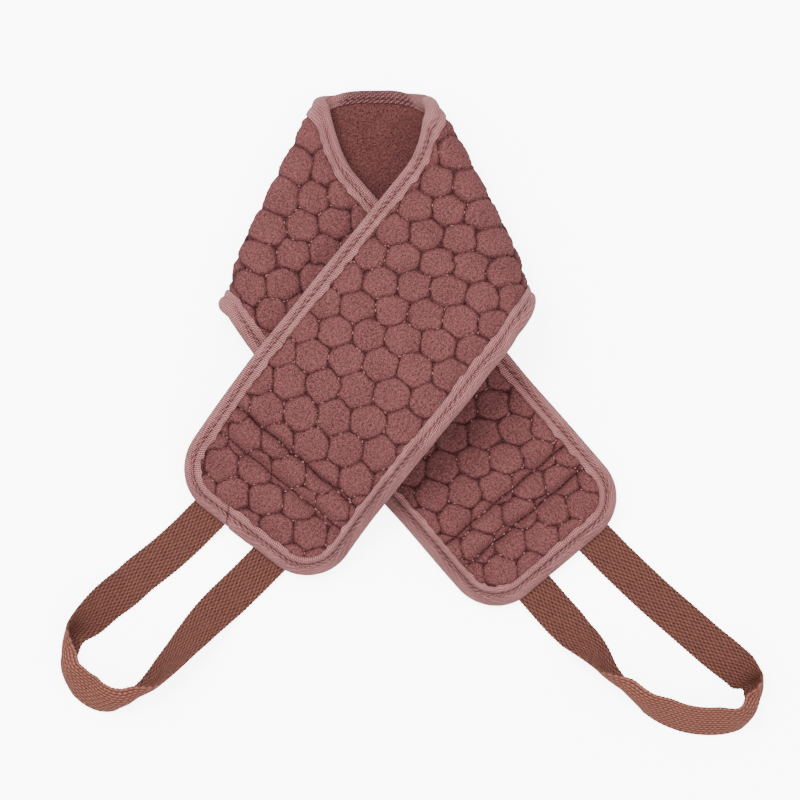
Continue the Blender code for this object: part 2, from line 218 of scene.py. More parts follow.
def belt_point(s, v, h):
    point, _, _, outward = belt_frame(s, v)
    return point + np.asarray(h)[..., None] * outward


def end_line(v, length, inset):
    into_corner = np.maximum(np.abs(v) - (HALF - CORNER_RADIUS), 0.0)
    radius = CORNER_RADIUS - inset
    return length - CORNER_RADIUS + np.sqrt(np.maximum(radius ** 2 - into_corner ** 2, 0.0))


def inside_distance(s, v):
    """How far inside the belt's outline a point lies."""
    to_end = np.where(s < 0, UNDER_LENGTH, FRONT_LENGTH) - np.abs(s)
    to_side = HALF - np.abs(v)
    corner = CORNER_RADIUS - np.hypot(CORNER_RADIUS - to_end, CORNER_RADIUS - to_side)
    return np.where((to_end < CORNER_RADIUS) & (to_side < CORNER_RADIUS), corner, np.minimum(to_end, to_side))


# ---- quilting ----

def lattice_place(lattice, s, v):
    """Which cell a point of the belt lies in, as fractional cell numbers."""
    (s0, v0), first, second = lattice
    inverse = np.linalg.inv(np.array([first, second]).T)
    return np.einsum("ij,...j->...i", inverse, np.stack([s - s0, v - v0], -1))


SHIFT = np.round(lattice_place(UNDER_LATTICE, 0.0, 0.0) - lattice_place(FRONT_LATTICE, 0.0, 0.0))
CELL_FIRST, CELL_SECOND = np.array([CELL_ALONG, 0.0]), np.array([CELL_ALONG / 2, CELL_ACROSS])


def quilt_place(s, v):
    """A point of the belt in the plane of the quilting's even lattice."""
    share = smooth(s, -0.055, 0.055)[..., None]
    cell = mix(lattice_place(UNDER_LATTICE, s, v), lattice_place(FRONT_LATTICE, s, v) + SHIFT, share)
    place = cell[..., :1] * CELL_FIRST + cell[..., 1:] * CELL_SECOND
    sway = 0.0006 * np.stack([np.sin(s * 330 + 9 * np.sin(v * 70)), np.sin(v * 410 + 7 * np.sin(s * 61))], -1)
    return place + sway


def nearest_cell(place):
    """The number of the nearest cell, and the point measured from its middle."""
    second = place[..., 1] / CELL_ACROSS
    first = (place[..., 0] - second * CELL_ALONG / 2) / CELL_ALONG
    best, offset, far = None, None, None
    for i in (0, 1):
        for j in (0, 1):
            cell = np.stack([np.floor(first) + i, np.floor(second) + j], -1)
            away = place - cell[..., :1] * CELL_FIRST - cell[..., 1:] * CELL_SECOND
            distance = np.hypot(away[..., 0], away[..., 1])
            if best is None:
                best, offset, far = cell, away, distance
                continue
            nearer = distance < far
            best = np.where(nearer[..., None], cell, best)
            offset = np.where(nearer[..., None], away, offset)
            far = np.where(nearer, distance, far)
    return best, offset


NEIGHBOURS = [np.array(n) for n in (CELL_FIRST, CELL_SECOND, CELL_SECOND - CELL_FIRST)]
NEIGHBOURS += [-n for n in NEIGHBOURS]


def border_distance(s, v):
    """How far a point lies from its cell's border, softened so that cells have rounded corners."""
    cell, offset = nearest_cell(quilt_place(s, v))
    softness = 0.0011
    total = sum(np.exp(-(np.linalg.norm(n) / 2 - offset @ (n / np.linalg.norm(n))) / softness)
                for n in NEIGHBOURS)
    return -softness * np.log(total), cell


def puff(s, v):
    """The padding's rise: 0 on the stitching, 1 in the middle of a cell, below 0 where three cells meet."""
    distance, cell = border_distance(s, v)
    share = np.clip(distance / 0.0058, -0.2, 1.0)
    rise = np.where(share > 0, 1.0 - (1.0 - np.maximum(share, 0.0)) ** 3.6, 2.4 * share)
    number = np.sin(cell[..., 0] * 12.9898 + cell[..., 1] * 78.233) * 43758.5453
    return rise * (0.93 + 0.14 * (number - np.floor(number))), distance


CROSS_ROWS = (  # sign, distance from the middle of the back, slant, depth, half-width
    (1, FRONT_LENGTH - 0.0544, 0.042, 1.0, 0.0023), (1, FRONT_LENGTH - 0.0388, 0.02, 0.8, 0.0034),
    (-1, UNDER_LENGTH - 0.0520, 0.0, 0.9, 0.0024), (-1, UNDER_LENGTH - 0.0350, 0.0, 1.0, 0.0024),
)


def row_distance(row, s, v):
    sign, along, slant = row[:3]
    return np.abs(sign * s - along - slant * v + 0.0004 * np.sin(v * 300))


def leg_middle(v, outermost):
    """Where across the belt a leg's middle lies, from its route and how far it reaches outwards."""
    return v + np.sign(v) * (outermost * MM - WEBBING_WIDTH / 2)


def tail_mask(s, v):
    """1 over the handle's sewn-in tails, 0 clear of them."""
    mask = np.zeros(np.shape(s))
    for sign, length, route, reaches in ((1, FRONT_LENGTH, FRONT_HANDLE_ROUTE, FRONT_HANDLE_REACH),
                                         (-1, UNDER_LENGTH, UNDER_HANDLE_ROUTE, UNDER_HANDLE_REACH)):
        reach = smooth(sign * s, length - TAIL_LENGTH - 0.004, length - TAIL_LENGTH - 0.0005)
        for which in (0, -1):
            middle = leg_middle(route[which][1], reaches[which][1])
            mask = np.maximum(mask, reach * (1.0 - smooth(np.abs(v - middle), 0.0113, 0.0145)))
    return mask


def layer_heights(s, v):
    """The heights of the layers' faces: terry top and bottom, lining bottom and top; then the share lying
    over the webbing's tails, and how far the point lies from the quilting's stitch lines.
    """
    rise, distance = puff(s, v)
    inside = inside_distance(s, v)
    for row in CROSS_ROWS:
        away = row_distance(row, s, v)
        rise = mix(rise, -0.9, row[3] * np.exp(-(away / row[4]) ** 2))
        distance = np.minimum(distance, away * 0.8 + (1 - row[3]) * 0.0016)
    loft = mix(1.50, 1.10, smooth(np.abs(s), 0.10, 0.16)) * MM
    terry = mix(2.75 * MM, 2.55 * MM + loft * rise, smooth(inside, 0.0103, 0.0140))
    lining = mix(-2.90 * MM, -3.20 * MM - 0.16 * MM * rise, smooth(inside, 0.0075, 0.0130))
    mask = tail_mask(s, v)
    lining = mix(lining, mix(-2.95 * MM, -3.95 * MM, smooth(inside, 0.0075, 0.0130)), mask)
    return terry, terry - 1.5 * MM, lining, lining + 1.05 * MM, mask, distance


# ---- meshes ----

def add_mesh(name, points, faces, material, uv=None, normals=None, attributes=None):
    mesh = bpy.data.meshes.new(name)
    points = np.ascontiguousarray(points, np.float32).reshape(-1, 3)
    faces = np.ascontiguousarray(faces, np.int32)
    count, corners = faces.shape
    mesh.vertices.add(len(points))
    points[..., 2] = np.maximum(points[..., 2], 0.0001)  # it lies on the table
    mesh.vertices.foreach_set("co", points.ravel())
    mesh.loops.add(count * corners)
    mesh.loops.foreach_set("vertex_index", faces.ravel())
    mesh.polygons.add(count)
    mesh.polygons.foreach_set("loop_start", np.arange(0, count * corners, corners, dtype=np.int32))
    mesh.update(calc_edges=True)
    mesh.shade_smooth()
    if uv is not None:
        layer = mesh.uv_layers.new(name="Belt")
        at_corners = np.ascontiguousarray(uv.reshape(-1, 2)[faces.ravel()], np.float32)
        layer.data.foreach_set("uv", at_corners.ravel())
    for key, values in (attributes or {}).items():
        mesh.attributes.new(key, "FLOAT", "POINT").data.foreach_set(
            "value", np.ascontiguousarray(values, np.float32).ravel())
    if normals is not None:
        mesh.normals_split_custom_set_from_vertices(normals.reshape(-1, 3).tolist())
    mesh.materials.append(material)
    piece = bpy.data.objects.new(name, mesh)
    bpy.context.scene.collection.objects.link(piece)
    return piece


def slab_faces(rows, columns):
    """Quads of a closed slab: an upper sheet of rows by columns of points, then a lower one."""
    index = np.arange(rows * columns).reshape(rows, columns)
    lower = index + rows * columns
    quad = np.stack([index[:-1, :-1], index[1:, :-1], index[1:, 1:], index[:-1, 1:]], -1).reshape(-1, 4)
    under = (quad + rows * columns)[:, ::-1]
    rim = np.concatenate([index[:, 0], index[-1, 1:], index[-2::-1, -1], index[0, -2:0:-1]])
    next_rim = np.roll(rim, -1)
    sides = np.stack([rim, rim + rows * columns, next_rim + rows * columns, next_rim], -1)
    return np.concatenate([quad, under, sides])


def sheet_normals(points):
    along, across = np.gradient(points, axis=0), np.gradient(points, axis=1)
    return unit(np.cross(along, across))


def face_uv(points, s, v, zero):
    """Texture places that follow a face's own length, so that a fold doesn't stretch its cloth."""
    steps = np.linalg.norm(np.diff(points, axis=0), axis=2)
    length = np.concatenate([np.zeros((1, s.shape[1])), np.cumsum(steps, 0)])
    return np.stack([length - length[zero], v], -1)


def slab(name, upper, lower, material, uv=None, rows=slice(None), attributes=None):
    """A closed slab between two sheets; rows picks a stretch, shaded as if it ran on past its ends."""
    normals = np.stack([sheet_normals(upper)[rows], -sheet_normals(lower)[rows]])
    points = np.stack([upper[rows], lower[rows]])
    shape = points.shape[1:3]
    if uv is not None:
        uv = np.stack([uv[rows], uv[rows]])
    attributes = {k: np.stack([a[rows], a[rows]]) for k, a in (attributes or {}).items()}
    return add_mesh(name, points, slab_faces(*shape), material, uv, normals, attributes)


# ---- materials ----

def srgb(r, g, b):
    c = np.array([r, g, b]) / 255.0
    return tuple(np.where(c <= 0.04045, c / 12.92, ((c + 0.055) / 1.055) ** 2.4)) + (1.0,)


class Nodes:
    def __init__(self, name, roughness=0.9, sheen=0.0, tint=(1, 1, 1, 1), specular=0.2):
        self.material = bpy.data.materials.new(name)
        self.material.use_nodes = True
        self.tree = self.material.node_tree
        self.shader = self.tree.nodes["Principled BSDF"]
        values = self.shader.inputs
        values["Roughness"].default_value = roughness
        values["Sheen Weight"].default_value = sheen
        values["Sheen Roughness"].default_value = 0.5
        values["Sheen Tint"].default_value = tint
        values["Specular IOR Level"].default_value = specular
        self.uv = self.add("ShaderNodeUVMap")
        self.uv.uv_map = "Belt"
        self.place = self.uv.outputs[0]

    def add(self, kind, **settings):
        node = self.tree.nodes.new(kind)
        for key, value in settings.items():
            setattr(node, key, value)
        return node

    def link(self, value, socket):
        if isinstance(value, bpy.types.NodeSocket):
            self.tree.links.new(value, socket)
        else:
            socket.default_value = value

    def math(self, operation, a, b=0.0, c=0.0):
        node = self.add("ShaderNodeMath", operation=operation)
        for value, socket in zip((a, b, c), node.inputs):
            self.link(value, socket)
        return node.outputs[0]

    def noise(self, scale, detail=2.0, place=None, roughness=0.5):
        node = self.add("ShaderNodeTexNoise")
        node.inputs["Scale"].default_value = scale
        node.inputs["Detail"].default_value = detail
        node.inputs["Roughness"].default_value = roughness
        self.link(self.place if place is None else place, node.inputs["Vector"])
        return node.outputs[0]

    def spread(self, value, low, high, out_low=0.0, out_high=1.0):
        node = self.add("ShaderNodeMapRange")
        for socket, v in zip(node.inputs, (value, low, high, out_low, out_high)):
            self.link(v, socket)
        return node.outputs[0]

    def colour(self, share, a, b):
        node = self.add("ShaderNodeMix", data_type="RGBA")
        self.link(share, node.inputs[0])
        self.link(a, node.inputs[6])
        self.link(b, node.inputs[7])
        return node.outputs[2]

    def attribute(self, name):
        return self.add("ShaderNodeAttribute", attribute_name=name).outputs["Fac"]

    def split(self):
        node = self.add("ShaderNodeSeparateXYZ")
        self.link(self.place, node.inputs[0])
        return node.outputs[0], node.outputs[1]

    def finish(self, colour, height=None, distance=0.0003, strength=1.0):
        self.link(colour, self.shader.inputs["Base Color"])
        if height is not None:
            bump = self.add("ShaderNodeBump")
            bump.inputs["Strength"].default_value = strength
            bump.inputs["Distance"].default_value = distance
            self.link(height, bump.inputs["Height"])
            self.link(bump.outputs[0], self.shader.inputs["Normal"])
        return self.material


def terry_material(name, dark, light, painted_shade):
    n = Nodes(name, roughness=0.95, sheen=0.0, specular=0.05)
    loops = n.noise(1300, 1.0, roughness=0.6)
    tufts = n.noise(600, 1.0)
    patches = n.noise(60, 3.0)
    shade = n.math("ADD", n.math("MULTIPLY", loops, 0.80),
                   n.math("ADD", n.math("MULTIPLY", tufts, 0.35), n.math("MULTIPLY", patches, 0.15)))
    colour = n.colour(n.spread(shade, 0.40, 0.86), dark, light)
    # painted shade: the quilting's grooves and cross rows are darkened, patchily, towards the shade colour
    patchy = n.math("ADD", n.math("MULTIPLY", tufts, 2.2), -0.1)
    colour = n.colour(n.math("MULTIPLY", n.attribute("painted_shade"), patchy), colour, painted_shade)
    height = n.math("ADD", loops, n.math("MULTIPLY", tufts, 0.4))
    return n.finish(colour, height, 0.0004, 1.0)


def tape_material(name, dark, light, painted_shade):
    """Herringbone tape: fine ribs across it, fainter lines along it."""
    n = Nodes(name, roughness=0.9, sheen=0.05, tint=(1, 0.8, 0.8, 1), specular=0.1)
    u, v = n.split()
    drift = n.math("MULTIPLY", n.noise(160, 2.0), 0.0012)
    u, v = n.math("ADD", u, drift), n.math("ADD", v, drift)
    ribs = n.math("SINE", n.math("ADD", n.math("MULTIPLY", u, 2 * np.pi / 0.00118),
                                 n.math("MULTIPLY", n.math("PINGPONG", v, 0.0026), 700.0)))
    lines = n.math("SINE", n.math("MULTIPLY", v, 2 * np.pi / 0.0012))
    grain = n.noise(1500, 2.0, roughness=0.7)
    patches = n.noise(90, 2.0)
    shade = n.math("ADD", n.math("ADD", n.math("MULTIPLY", ribs, 0.30), n.math("MULTIPLY", lines, 0.14)),
                   n.math("ADD", n.math("MULTIPLY", grain, 0.7), n.math("MULTIPLY", patches, 0.35)))
    colour = n.colour(n.spread(shade, 0.15, 0.90), dark, light)
    # painted shade in the stitch groove, the pull marks and the creases, and over the lining side
    colour = n.colour(n.attribute("painted_shade"), colour, painted_shade)
    return n.finish(colour, shade, 0.0005, 1.0)


def webbing_material(name, dark, light):
    """The crossings are in the mesh; this paints shade into the gaps between them and adds the yarn's grain.
    """
    n = Nodes(name, roughness=0.8, sheen=0.0, specular=0.12)
    grain = n.noise(1500, 2.0, roughness=0.7)
    shade = n.math("ADD", n.math("MULTIPLY", n.attribute("weave_shade"), 0.75), n.math("MULTIPLY", grain, 0.5))
    colour = n.colour(n.spread(shade, 0.1, 1.15), dark, light)
    return n.finish(colour, grain, 0.0003, 0.8)


# The third colour of terry, lining and tape is the painted shade of their grooves and creases.
TERRY = terry_material("terry_cloth", srgb(26, 9, 10), srgb(98, 59, 59), srgb(22, 5, 6))
LINING = terry_material("lining_cloth", srgb(5, 1, 1), srgb(88, 51, 50), srgb(18, 4, 4))
BINDING = tape_material("binding_tape", srgb(52, 23, 24), srgb(147, 98, 97), srgb(38, 12, 13))
WEBBING = webbing_material("webbing", srgb(16, 5, 4), srgb(108, 63, 52))
# The thread's dark colour is painted shade, standing in for the dark stitch holes.
THREAD = Nodes("sewing_thread", roughness=0.9, sheen=0.0, specular=0.05)
THREAD = THREAD.finish(THREAD.colour(THREAD.attribute("tone"), srgb(34, 9, 10), srgb(128, 84, 84)))
FOAM = Nodes("foam", roughness=0.95)
FOAM = FOAM.finish(FOAM.colour(FOAM.noise(1500), srgb(225, 215, 200), srgb(245, 238, 226)),
                   FOAM.noise(1500), 0.0002)

# ---- the belt's rows ----

EDGE_INSET = 0.0021
COLUMNS = np.linspace(-HALF + EDGE_INSET, HALF - EDGE_INSET, int(BELT_WIDTH / GRID))


def row_lines(v, inset=EDGE_INSET):
    """The belt's main lines at v across it, from the under end to the front end."""
    return [
        -end_line(v, UNDER_LENGTH, inset), np.full(np.shape(v), -END_LINE),
        -fold_line(UNDER, v, 1.0), -fold_line(UNDER, v, 0.5), -fold_line(UNDER, v, 0.0),
        np.zeros(np.shape(v)),
        fold_line(FRONT, v, 0.0), fold_line(FRONT, v, 0.5), fold_line(FRONT, v, 1.0),
        np.full(np.shape(v), END_LINE), end_line(v, FRONT_LENGTH, inset),
    ]


def belt_rows(v, grid=GRID, inset=EDGE_INSET):
    """s of every row at v across the belt, and which row each main line is."""
    middle = row_lines(np.array([0.0]), inset)
    lines = row_lines(v, inset)
    rows, marks = [], [0]
    for near, far, a, b in zip(lines, lines[1:], middle, middle[1:]):
        count = max(4, round(float(b[0] - a[0]) / grid))
        rows.append(near + (far - near) * np.linspace(0, 1, count, endpoint=False)[:, None])
        marks.append(marks[-1] + count)
    rows.append(lines[-1][None])
    return np.concatenate(rows), marks


STRETCHES = {  # name: first and last main line
    "under_end": (0, 1), "back": (1, 7), "front": (7, 9), "front_end": (9, 10),
}
NODE_PREFIX = {"under_end": "under_end", "back": "loop", "front": "front", "front_end": "front_end"}


def mid_edge(sign, length):
    edge = mid_surface(sign * length, 0.0)
    out = edge - mid_surface(sign * (length - 0.01), 0.0)
    across = mid_surface(sign * length, 0.01) - edge
    out[2] = across[2] = 0.0
    return edge, unit(out), unit(across)


def hinge_blend(piece, stretch):
    """Attaches the back stretch to the loop's body; for the other stretches it works out where their CAD
    hinge lies, but only bakes the piece's transform.
    """
    if stretch == "back":
        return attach(piece, "loop")
    if stretch == "front":
        v = np.array([-HALF, HALF])
        hinge = fan_line(FRONT, v, 0.08, lambda radius: FRONT_HINGE_ANGLE)
        line = belt_point(hinge, v, np.full(2, BINDING_HEIGHT))
        middle, direction = line.mean(0), line[1] - line[0]
        away = unit(np.array([-abs(direction[1]), -abs(direction[0]), 0.0]))
    else:
        sign, length, reach, parent = {
            "front_end": (1, FRONT_LENGTH, FRONT_END_LENGTH, "front_strip"),
            "under_end": (-1, UNDER_LENGTH, UNDER_END_LENGTH, "loop")}[stretch]
        middle = belt_point(np.array(sign * (length - reach)), np.array(0.0), np.array(BINDING_HEIGHT))
        away = mid_edge(sign, length)[1]
    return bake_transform(piece)


S, MARKS = belt_rows(COLUMNS)
V = np.broadcast_to(COLUMNS, S.shape)
POINTS, _, _, OUTWARD = belt_frame(S, V)
terry_top, terry_bottom, _, _, _, border = layer_heights(S, V)
UV = face_uv(POINTS + 0.0035 * OUTWARD, S, V, MARKS[5])
grain = rng.normal(0.0, 1.0, S.shape)
grain = 0.00009 * grain + 0.00010 * (grain + np.roll(grain, 1, 0) + np.roll(grain, 1, 1)) / 1.7
# Painted shade: darkening within a millimetre of each cell's border, where the quilting sinks, and along the
# cross rows, with a broad soft band of shade beside each row.
PAINTED_SHADE_WIDTH, PAINTED_SHADE_TONE = 0.0010, 0.65
painted_shade = np.clip(1.0 - border / PAINTED_SHADE_WIDTH, 0.0, 1.0) * PAINTED_SHADE_TONE
for row in CROSS_ROWS:
    away = row_distance(row, S, V)
    painted_shade = np.maximum(painted_shade, row[3] * np.maximum(np.clip(1.15 - away / PAINTED_SHADE_WIDTH, 0.0, 1.0) * 0.9,
                                              0.32 * np.exp(-(away / row[4]) ** 2)))


def at(heights):
    return POINTS + heights[..., None] * OUTWARD


for stretch, (first, last) in STRETCHES.items():
    rows = slice(MARKS[first], MARKS[last] + 1)
    prefix = NODE_PREFIX[stretch]
    terry = slab(f"terry_{stretch}", at(terry_top + grain), at(terry_bottom), TERRY, UV, rows, {"painted_shade": painted_shade})
    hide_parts(f"{prefix}_terry_face")
    hinge_blend(terry, stretch)

coarse_columns = np.linspace(-HALF + EDGE_INSET, HALF - EDGE_INSET, COARSE_COLUMNS)
S2, MARKS2 = belt_rows(coarse_columns, COARSE_GRID)
V2 = np.broadcast_to(coarse_columns, S2.shape)
points2, _, _, outward2 = belt_frame(S2, V2)
_, terry_bottom2, lining_bottom2, lining_top2, tails2, border2 = layer_heights(S2, V2)
grain2 = 0.00006 * rng.normal(0.0, 1.0, S2.shape)
webbing_bottom2 = lining_top2 + 0.03 * MM
foam_bottom2 = mix(lining_top2 + 0.05 * MM, webbing_bottom2 + 1.5 * MM, tails2)
foam_top2 = np.maximum(terry_bottom2 - 0.05 * MM, foam_bottom2 + 0.3 * MM)
uv2 = face_uv(points2 - 0.003 * outward2, S2, V2, MARKS2[5])
# Painted shade: the lining is faintly darkened along its quilting grooves.
lining_painted_shade = np.clip(1.0 - border2 / 0.0014, 0.0, 1.0) * 0.12


def at2(heights):
    return points2 + heights[..., None] * outward2


for stretch, (first, last) in STRETCHES.items():
    rows = slice(MARKS2[first], MARKS2[last] + 1)
    prefix = NODE_PREFIX[stretch]
    lining = slab(f"lining_{stretch}", at2(lining_top2), at2(lining_bottom2 - grain2), LINING, uv2, rows,
                  {"painted_shade": lining_painted_shade})
    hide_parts(f"{prefix}_lining")
    hinge_blend(lining, stretch)
    foam = slab(f"foam_{stretch}", at2(foam_top2), at2(foam_bottom2), FOAM, uv2, rows)
    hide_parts(f"{prefix}_foam_core")
    hinge_blend(foam, stretch)

# ---- binding ----

WRAP = np.array([  # inward from the edge, height, of the tape's outer face, in mm
    (10.5, 3.10), (10.5, 3.55), (10.3, 3.90), (9.9, 4.06), (9.3, 4.14), (8.6, 4.14), (7.9, 4.08), (7.2, 3.92),
    (6.5, 3.68), (5.9, 3.92), (5.3, 4.22), (4.7, 4.42), (4.1, 4.52), (3.5, 4.52), (2.9, 4.40), (2.3, 4.16),
    (1.7, 3.75), (1.1, 3.1), (0.55, 2.2), (0.12, 1.1), (0.0, 0.0), (0.12, -1.2), (0.6, -2.4), (1.4, -3.3),
    (2.4, -3.85), (3.5, -4.1), (4.6, -4.15), (5.5, -4.05), (6.2, -3.85), (6.8, -4.0), (7.5, -4.12),
    (8.1, -4.05), (8.5, -3.8), (8.6, -3.35)]) * MM
INNER = np.array([  # the same for its inner face, point for point
    (10.4, 3.02), (10.3, 3.02), (10.1, 3.02), (9.7, 3.02), (9.2, 3.02), (8.5, 3.02), (7.8, 3.02), (7.1, 3.02),
    (6.4, 3.02), (5.8, 3.02), (5.3, 3.02), (4.7, 3.02), (4.2, 3.02), (3.7, 3.02), (3.2, 3.0), (2.8, 2.9),
    (2.4, 2.6), (2.1, 2.2), (1.75, 1.6), (1.5, 0.8), (1.4, 0.0), (1.5, -0.8), (1.8, -1.6), (2.3, -2.5),
    (2.9, -3.0), (3.6, -3.1), (4.5, -3.1), (5.4, -3.1), (6.1, -3.1), (6.7, -3.1), (7.4, -3.1), (7.9, -3.1),
    (8.3, -3.1), (8.5, -3.15)]) * MM


def refined(profile):
    fine = np.empty((2 * len(profile) - 1, 2))
    fine[::2], fine[1::2] = profile, (profile[1:] + profile[:-1]) / 2
    return fine


WRAP, INNER = refined(WRAP), refined(INNER)
ARC = np.concatenate([[0.0], np.cumsum(np.hypot(*np.diff(WRAP, axis=0).T))])
GROOVE, BACK_GROOVE, EDGE = ARC[16], ARC[56], ARC[40]

TAPE_JOIN = -0.013  # how far across the front end the tape's two ends meet
GROOVE_WIDTH, MARK_WIDTH = 0.0004, 0.00034
TAPE_CREASE, LINING_CREASE = 0.0023, 0.0031  # the spacing of its creases, on the terry and the lining side
PULL_ROWS = (  # arc, spacing along the tape, phase, strength
    (GROOVE + 0.0001, 0.0037, 0.0, 1.0), (GROOVE + 0.0019, 0.0040, 0.4, 0.75),
    (GROOVE + 0.0010, 0.0046, 0.1, 0.5), (GROOVE - 0.0013, 0.0050, 0.7, 0.3), (BACK_GROOVE, 0.0037, 0.2, 0.8))


def wrinkles(reach, arc):
    """The tape's unevenness: slanting pull marks by the stitching, and slanting creases on both its sides;
    with it, painted shade in the stitch groove, the pull marks and the creases, and over the whole lining
    side.
    """
    lift = 0.00012 * np.sin(reach * 97 + 2 * np.sin(reach * 31))
    # painted shade along the stitch groove; each pull mark and slanting crease below adds more
    dark = 0.35 * np.exp(-((arc - GROOVE) / GROOVE_WIDTH) ** 2)
    for row, spacing, phase, strength in PULL_ROWS:
        turn = reach / spacing + phase + 0.25 * np.sin(reach * 210 + row * 900)
        part = turn - np.floor(turn) - 0.5
        line = np.exp(-((arc - row - 0.28 * part * spacing) / MARK_WIDTH) ** 2)
        mark = line * np.clip(1.3 - (2.4 * part) ** 2, 0, 1)
        lift = lift - 0.00020 * strength * mark
        dark = dark + 0.95 * strength * mark
    slant = np.sin(2 * np.pi * (arc + 0.24 * reach) / TAPE_CREASE + 1.5 * np.sin(reach * 61))
    slant = np.clip(slant - 0.35, 0, 1) * (0.6 + 0.4 * np.sin(reach * 173 + 2))
    slant = slant * smooth(arc, GROOVE, GROOVE + 0.001)
    lift = lift - 0.00030 * slant
    dark = dark + 0.75 * slant
    # the lining side is painted darker all over, as shade, and darker still in its crease troughs
    lining_side = smooth(arc, EDGE + 0.0010, EDGE + 0.0030)
    crease = np.sin(2 * np.pi * (reach + 1.3 * arc) / LINING_CREASE + 1.1 * np.sin(reach * 140))
    lift = lift + 0.00028 * crease * lining_side
    dark = dark + lining_side * (0.28 + 0.8 * np.clip(-crease, 0, 1))
    return lift, dark


def binding(name, place, reach, stretch, node, join=None):
    """A stretch of folded tape: place gives (s, v) of each point of an edge-to-inward profile."""
    inward = WRAP[:, 0][None, :]
    s, v = place(inward)
    arc = np.broadcast_to(ARC, s.shape)
    reach = np.broadcast_to(reach[:, None], s.shape)
    centre = np.array([5.0, 0.0]) * MM
    push = WRAP - centre
    push /= np.linalg.norm(push, axis=1)[:, None]
    loose = 0.0006 * np.sin(reach * 260 + 3 * np.sin(reach * 83)) + 0.0003 * np.sin(reach * 900)
    inward = inward + loose * (1 - smooth(arc, 0.0, GROOVE))
    fold = np.where(s > 0, fold_line(FRONT, v, 0.5), -fold_line(UNDER, v, 0.5))
    still = smooth(np.abs(s - fold), 0.008, 0.018)
    lift, painted_shade = wrinkles(reach, arc)
    lift = lift * still
    if join is not None:  # the tape's end, folded under and lapped over its beginning
        past = reach - join - 0.55 * (arc - GROOVE)
        lift = lift + 0.0007 * smooth(past, -0.0004, 0.0004) * (1 - smooth(past, 0.010, 0.022))
        # painted shade along the edge of the lapped end
        painted_shade = painted_shade + 0.9 * np.exp(-((past + 0.0004) / 0.0006) ** 2)
    s, v = place(inward + push[:, 0] * lift)
    outer = belt_point(s, v, WRAP[:, 1] + push[:, 1] * lift)
    s_in, v_in = place(np.broadcast_to(INNER[:, 0], s.shape))
    inner = belt_point(s_in, v_in, np.broadcast_to(INNER[:, 1], s.shape))
    uv = np.stack([reach, arc], -1)
    uv[..., 0] = reach[0] + face_uv(outer, s, v, 0)[..., 0]
    points = np.stack([outer, inner])
    painted_shade = np.clip(painted_shade * (0.3 + 0.7 * still), 0, 1)
    piece = add_mesh(name, points, slab_faces(*outer.shape[:2]), BINDING, np.stack([uv, uv]),
                     attributes={"painted_shade": np.stack([painted_shade, painted_shade])})
    fix_facing(piece)
    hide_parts(node)
    hinge_blend(piece, stretch)
    return piece


def fix_facing(piece):
    """Turns a closed mesh's faces outwards."""
    mesh = piece.data
    co = np.empty(len(mesh.vertices) * 3)
    mesh.vertices.foreach_get("co", co)
    co = co.reshape(-1, 3)
    corner = np.empty(len(mesh.loops), np.int32)
    mesh.loops.foreach_get("vertex_index", corner)
    quads = co[corner.reshape(-1, 4)]
    volume = (np.cross(quads[:, 0], quads[:, 1]) * quads[:, 2]).sum() \
        + (np.cross(quads[:, 0], quads[:, 2]) * quads[:, 3]).sum()
    if volume < 0:
        mesh.flip_normals()


for stretch in ("back", "front"):
    first, last = STRETCHES[stretch]
    for edge, side_name in ((-1, "neck"), (1, "outer")):
        def place(inward):
            inward = np.asarray(inward)
            v_row = edge * (HALF - WRAP[:, 0])
            rows, marks = belt_rows(v_row, BINDING_GRID)
            s = rows[marks[first]:marks[last] + 1]
            return s, np.broadcast_to(edge * (HALF - inward), s.shape)

        rows, marks = belt_rows(np.array([edge * (HALF - 0.005)]), BINDING_GRID)
        reach = rows[marks[first]:marks[last] + 1, 0]
        binding(f"binding_{stretch}_{side_name}", place, reach, stretch,
                f"{NODE_PREFIX[stretch]}_{side_name}_binding")


def outline(length, start):
    """An end's outline from the neck side round to the outer side: s, v and the direction inwards."""
    corner, centre = length - CORNER_RADIUS, HALF - CORNER_RADIUS
    side = np.arange(start, corner, BINDING_GRID)
    turn = np.radians(np.linspace(-90, 0, 50))
    across = np.linspace(-centre, centre, 70)[1:-1]
    s = np.concatenate([side, corner + CORNER_RADIUS * np.cos(turn), np.full(len(across), length),
                        corner + CORNER_RADIUS * np.cos(turn[::-1]), side[::-1]])
    v = np.concatenate([np.full(len(side), -HALF), -centre + CORNER_RADIUS * np.sin(turn), across,
                        centre - CORNER_RADIUS * np.sin(turn[::-1]), np.full(len(side), HALF)])
    inward_s = np.concatenate([0 * side, -np.cos(turn), np.full(len(across), -1.0),
                               -np.cos(turn[::-1]), 0 * side])
    inward_v = np.concatenate([0 * side + 1, -np.sin(turn), 0 * across, np.sin(turn[::-1]), 0 * side - 1])
    return s, v, inward_s, inward_v


for sign, length, stretch in ((1, FRONT_LENGTH, "front_end"), (-1, UNDER_LENGTH, "under_end")):
    s, v, inward_s, inward_v = outline(length, END_LINE)

    def place(inward):
        inward = np.asarray(inward)
        return (sign * (s[:, None] + inward * inward_s[:, None]),
                v[:, None] + inward * inward_v[:, None])

    reach = np.concatenate([[0.0], np.cumsum(np.hypot(np.diff(s), np.diff(v)))])
    start = np.interp(TAPE_JOIN, v[50:-50], reach[50:-50]) if sign > 0 else None
    binding(f"binding_{stretch}", place, reach, stretch, f"{stretch}_binding", start)

# ---- quilting stitches ----

